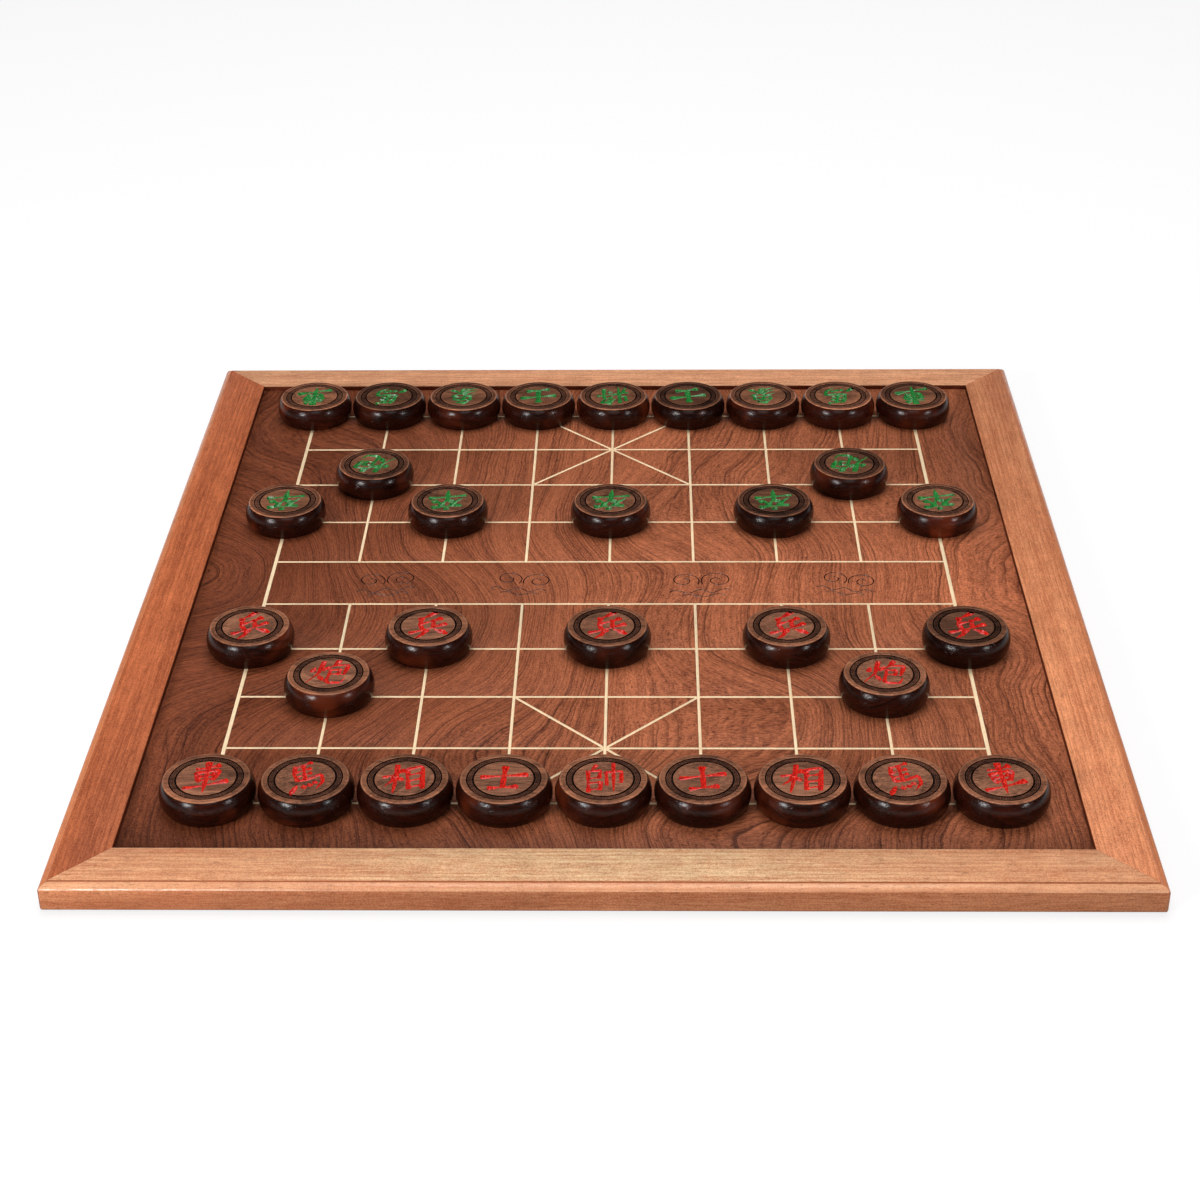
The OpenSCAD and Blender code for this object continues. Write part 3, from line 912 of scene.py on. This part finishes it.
def stroke_points(kind, corners):
    """Points along a stroke as x, y and half width, with round ends and a waver of its own."""
    made = []
    phase = 5 * (corners[0][0] + 2.3 * corners[0][1])
    for step in range(CARVING_STEPS + 1):
        share = step / CARVING_STEPS
        point = along_path(corners, share)
        waver = 1 + BRUSH_WAVER * math.sin(WAVER_RATE * share + phase)
        made.append([point.x, point.y, brush_width(kind, share) * waver])
    for end in (0, -1):
        x, y, width = made[end]
        inner = made[1] if end == 0 else made[-2]
        away = Vector((x - inner[0], y - inner[1])).normalized()
        tips = [(x + away.x * width * reach, y + away.y * width * reach, width * narrow)
                for reach, narrow in STROKE_TIPS]
        made = tips[::-1] + made if end == 0 else made + tips
    return made


def solid_line(points):
    """A closed round solid along points of x, y, z and radius, in metres."""
    curve = bpy.data.curves.new("stroke", "CURVE")
    curve.dimensions = "3D"
    curve.bevel_depth = 1
    curve.bevel_resolution = 2
    curve.use_fill_caps = True
    spline = curve.splines.new("POLY")
    spline.points.add(len(points) - 1)
    for point, (x, y, z, radius) in zip(spline.points, points):
        point.co = (x, y, z, 1)
        point.radius = radius
    solid = bpy.data.objects.new("stroke", curve)
    bpy.context.scene.collection.objects.link(solid)
    select_only(solid)
    bpy.ops.object.convert(target="MESH")
    open_mesh(solid, "VERT", selected=True)
    bpy.ops.mesh.remove_doubles(threshold=0.0001 * MM)
    bpy.ops.mesh.normals_make_consistent(inside=False)
    close_mesh()
    return solid


def stroke_solid(kind, corners, width, height, weight):
    """A solid of one stroke of a character, lying across the top of a blank piece."""
    points = []
    for x, y, radius in stroke_points(kind, corners):
        right = x - STROKE_SQUARE / 2
        up = y - STROKE_SQUARE / 2 + right * STROKE_SLANT
        points.append((right / STROKE_SQUARE * width, up / STROKE_SQUARE * height, 0,
                       radius / STROKE_SQUARE * width * weight))
    solid = solid_line(points)
    for vertex in solid.data.vertices:
        vertex.co.z = vertex.co.z * STROKE_DEPTH + PIECE_H
    return solid


def cut_away(piece, solids, painted):
    """Joins solids that cross and cuts them from a piece, the cut faces in one of its materials."""
    cutter = solids[0]
    for solid in solids[1:]:
        apply_modifier(cutter, "BOOLEAN", object=solid, operation="UNION", solver="MANIFOLD")
        bpy.data.objects.remove(solid)
    cutter.data.materials.clear()
    for material in piece.data.materials:
        cutter.data.materials.append(material)
    for polygon in cutter.data.polygons:
        polygon.material_index = painted
    apply_modifier(piece, "BOOLEAN", object=cutter, operation="DIFFERENCE", solver="MANIFOLD")
    bpy.data.objects.remove(cutter)


def carve(blank, name, design):
    """A copy of the blank with a character carved in its top, painted inside its strokes."""
    width, height, weight, strokes = design
    bold = weight * BOLDNESS[name.split("_")[0]]
    piece = copy_object(blank, name)
    solids = [stroke_solid(kind, corners, width, height, bold) for kind, *corners in strokes]
    cut_away(piece, solids, PAINT)
    smooth(piece, degrees=32)
    return piece


DESIGNS = {
    "red_chariot": CHARIOT, "red_horse": HORSE, "red_elephant": MINISTER, "red_advisor": SCHOLAR,
    "red_general": MARSHAL, "red_cannon": CANNON, "red_soldier": SOLDIER,
    "green_chariot": CHARIOT, "green_horse": HORSE, "green_elephant": ELEPHANT, "green_advisor": SCHOLAR,
    "green_general": GENERAL, "green_cannon": CANNON, "green_soldier": FOOTMAN,
}


def set_down(design, name, number):
    """Places a copy of a carved design where its solid stands, turned as it was set down."""
    low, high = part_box(name)
    crossing = Vector(((low.x + high.x) / 2, (low.y + high.y) / 2, low.z))
    piece = copy_object(design, f"carved_{name}")
    grain = piece.data.attributes.new("turned_grain", "FLOAT_VECTOR", "POINT")
    lean = math.pi / 2 + GRAIN_LEAN * math.sin(GRAIN_LEAN_STEP * number)
    grain_turn = Matrix.Rotation(lean, 3, "Z") @ Matrix.Rotation(GRAIN_TILT, 3, "X")
    offset = GRAIN_STEP * number
    for vertex, value in zip(piece.data.vertices, grain.data):
        value.vector = grain_turn @ vertex.co + offset
    # Green pieces take green paint and the darker face and band woods, painted shade
    if name.startswith("green"):
        for index, material in ((PAINT, GREEN_PAINT), (FACE, FACE_SHADE_WOOD), (BAND, BAND_SHADE_WOOD)):
            piece.data.materials[index] = material
    turn = Matrix.Rotation(math.radians(TURNS[name]), 4, "Z")
    piece.data.transform(Matrix.Translation(crossing) @ turn)
    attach(piece, name)
    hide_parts(name)


def all_pieces():
    """Carves one piece of each design, and sets down its copies."""
    blank = blank_piece()
    designs = {name: carve(blank, name, design) for name, design in DESIGNS.items()}
    for number, name in enumerate(TURNS):
        kind = "_".join(name.split("_")[:2])
        set_down(designs[kind], name, number)
    for item in (blank, *designs.values()):
        bpy.data.objects.remove(item)


# The board

def eased_copy(node, name, ease, material):
    """A copy of a board part with its sharp edges just taken off."""
    part = copy_object(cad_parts[node], name)
    part.data.materials.clear()
    part.data.materials.append(material)
    select_only(part)
    bpy.ops.mesh.customdata_custom_splitnormals_clear()
    open_mesh(part, "VERT", selected=True)
    bpy.ops.mesh.remove_doubles(threshold=0.001 * MM)
    bpy.ops.mesh.dissolve_limited(angle_limit=math.radians(0.5))
    close_mesh()
    apply_modifier(part, "BEVEL", width=ease, segments=2, limit_method="ANGLE",
                   angle_limit=math.radians(40), use_clamp_overlap=True)
    smooth(part)
    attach(part, "board")
    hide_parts(node)
    return part


def finish_moulding(rail, *woods):
    """Gives a rail's step and its inner wall darker woods as painted shade, its rounded edge a paler wood
    as a painted highlight, and its outer face the wood it is given.
    """
    for wood in woods:
        rail.data.materials.append(wood)
    top = rail.bound_box[6][2]
    step_foot = top - RAIL_STEP - FRAME_EASE
    round_foot = top - RAIL_STEP - RAIL_ROUND
    low, high = ROUND_LOOKS_UP
    for polygon in rail.data.polygons:
        height = polygon.center.z
        up = polygon.normal.z
        if height > top - CLOSE:
            continue
        if polygon.normal.xy.dot(polygon.center.xy) <= 0:
            # Upright inner walls above the panel take a painted shade
            if height > PANEL_TOP and abs(up) < UPRIGHT:
                polygon.material_index = INNER
        # The step takes a painted shade
        elif height > step_foot and up < FLAT:
            polygon.material_index = STEP
        # The upper faces of the rounded edge take a paler painted highlight
        elif height > round_foot and low < up < high:
            polygon.material_index = ROUND
        elif up > -FLAT:
            polygon.material_index = OUTER


def dress(node, material):
    """Gives a board part that keeps its own shape its material."""
    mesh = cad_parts[node].data
    mesh.materials.clear()
    mesh.materials.append(material)


def curl(middle, outer, inner, turns, start):
    """Points of a curl that winds inwards from a start angle, in tenths of a mark."""
    made = []
    for share in WATER_SHARES:
        reach = outer + (inner - outer) * share
        angle = start + turns * math.tau * share
        made.append((middle[0] + reach * math.cos(angle), middle[1] + reach * math.sin(angle)))
    return made


def ripple(start, length, height, waves):
    """Points of a wavy line to the right of a start, in tenths of a mark."""
    return [(start[0] + length * share, start[1] + height * math.sin(waves * math.tau * share))
            for share in WATER_SHARES]


WATER_LINES = (
    curl((-2.4, 1.0), 2.3, 0.4, 1.4, -0.6),
    curl((2.5, 0.8), 2.5, 0.4, -1.5, 3.6),
    ripple((-4.8, -2.3), 9.0, 0.5, 2.5),
    ripple((-3.2, -3.6), 6.4, 0.4, 1.5),
)


def engrave_water(panel):
    """Engraves the water marks in the river and stains their lines."""
    stain = len(panel.data.materials)
    panel.data.materials.append(ENGRAVING_STAIN)
    for (x, y), size, turn in WATER_MARKS:
        to_place = (Matrix.Translation((x * SQUARE, y * SQUARE, PANEL_TOP))
                    @ Matrix.Rotation(math.radians(turn), 4, "Z") @ Matrix.Scale(size * SQUARE / 10, 4))
        solids = []
        for line in WATER_LINES:
            places = [to_place @ Vector((*point, 0)) for point in line]
            solids.append(solid_line([(*place, ENGRAVING_R) for place in places]))
        cut_away(panel, solids, stain)


def board():
    """Finishes the frame, the inlay and the panel, and dresses what keeps its own shape."""
    # Each rail's top wood, the paler painted highlight of its rounded edge, and the wood of its outer
    # face, a darker copy as painted shade on the front and back rails
    rails = (
        ("front_rail", FRONT_RAIL_WOOD, HIGHLIGHT_EDGE, OUTER_FACE_SHADE_WOOD),
        ("back_rail", BACK_RAIL_WOOD, HIGHLIGHT_EDGE, OUTER_FACE_SHADE_WOOD),
        ("left_rail", LEFT_RAIL_WOOD, HIGHLIGHT_SIDE_EDGE, LEFT_RAIL_WOOD),
        ("right_rail", RIGHT_RAIL_WOOD, HIGHLIGHT_SIDE_EDGE, RIGHT_RAIL_WOOD),
    )
    for node, material, highlight_wood, edge in rails:
        rail = eased_copy(node, f"eased_{node}", FRAME_EASE, material)
        finish_moulding(rail, STEP_SHADE, highlight_wood, edge, INNER_WALL_SHADE)
    for node in ("file_strips", "rank_strips", "palace_strips"):
        eased_copy(node, f"eased_{node}", STRIP_EASE, INLAY_WOOD)
    panel = eased_copy("playing_panel", "eased_playing_panel", PANEL_EASE, PANEL_WOOD)
    engrave_water(panel)
    smooth(panel)
    for corner in ("front_left", "front_right", "back_left", "back_right"):
        dress(f"{corner}_spline", SPLINE_WOOD)
        dress(f"{corner}_pad", FELT)
    for node in ("front_batten", "back_batten"):
        dress(node, BATTEN_WOOD)


# Stage, light and camera

def seen_rays(tree):
    """One on the rays that show the surroundings, and nothing on those that carry their light."""
    path = tree.nodes.new("ShaderNodeLightPath").outputs
    seen = maths(tree, "MAXIMUM", path["Is Camera Ray"], path["Is Glossy Ray"])
    return maths(tree, "MAXIMUM", seen, path["Is Transmission Ray"])


def floor():
    """A white floor that keeps the board's shadow and throws little light back at its sides."""
    bpy.ops.mesh.primitive_plane_add(size=FLOOR_SIZE, location=(0, 0, 0))
    ground = bpy.context.object
    ground.name = "studio_floor"
    material, tree, shader = new_material("studio_floor_white")
    seen = seen_rays(tree)
    tree.links.new(mix(tree, seen, FLOOR_THROWN, FLOOR_SEEN), shader.inputs["Base Color"])
    shader.inputs["Emission Color"].default_value = (1, 1, 1, 1)
    tree.links.new(maths(tree, "MULTIPLY", seen, FLOOR_GLOW), shader.inputs["Emission Strength"])
    shader.inputs["Roughness"].default_value = 0.9
    shader.inputs["Specular IOR Level"].default_value = 0.0
    ground.data.materials.append(material)


def studio_light():
    """Pale surroundings with a dim ceiling, and four lamps that light the wood at a plain level."""
    world = bpy.data.worlds.new("studio_world")
    world.use_nodes = True
    tree = world.node_tree
    tree.nodes.clear()
    direction = tree.nodes.new("ShaderNodeTexCoord").outputs["Generated"]
    shown = spread(tree, split(tree, direction)["Z"], CEILING_STARTS, CEILING_ENDS, 1.0, CEILING)
    strength = shader_node(tree, "ShaderNodeMix", {0: seen_rays(tree), 2: AMBIENT, 3: shown}).outputs[0]
    background = shader_node(tree, "ShaderNodeBackground", {"Color": (1, 1, 1, 1), "Strength": strength})
    output = tree.nodes.new("ShaderNodeOutputWorld")
    tree.links.new(background.outputs[0], output.inputs["Surface"])
    bpy.context.scene.world = world
    for name, place, size, power in LAMPS:
        lamp = bpy.data.lights.new(name, "AREA")
        lamp.shape = "RECTANGLE"
        lamp.size, lamp.size_y = size
        lamp.energy = power
        holder = bpy.data.objects.new(name, lamp)
        holder.location = place
        holder.rotation_euler = (-Vector(place)).to_track_quat("-Z", "Y").to_euler()
        bpy.context.scene.collection.objects.link(holder)


def camera():
    """Stands the camera where the photograph was taken from."""
    lens = bpy.data.cameras.new("photo_camera")
    lens.lens = CAMERA_LENS
    lens.sensor_width = CAMERA_SENSOR
    holder = bpy.data.objects.new("photo_camera", lens)
    turn = (Matrix.Rotation(-CAMERA_YAW, 4, "Z") @ Matrix.Rotation(math.pi / 2 - CAMERA_PITCH, 4, "X")
            @ Matrix.Rotation(-CAMERA_ROLL, 4, "Z"))
    holder.matrix_world = Matrix.Translation(CAMERA_PLACE) @ turn
    bpy.context.scene.collection.objects.link(holder)
    bpy.context.scene.camera = holder


all_pieces()
board()
floor()
studio_light()
camera()
bpy.context.scene.view_settings.view_transform = "Standard"
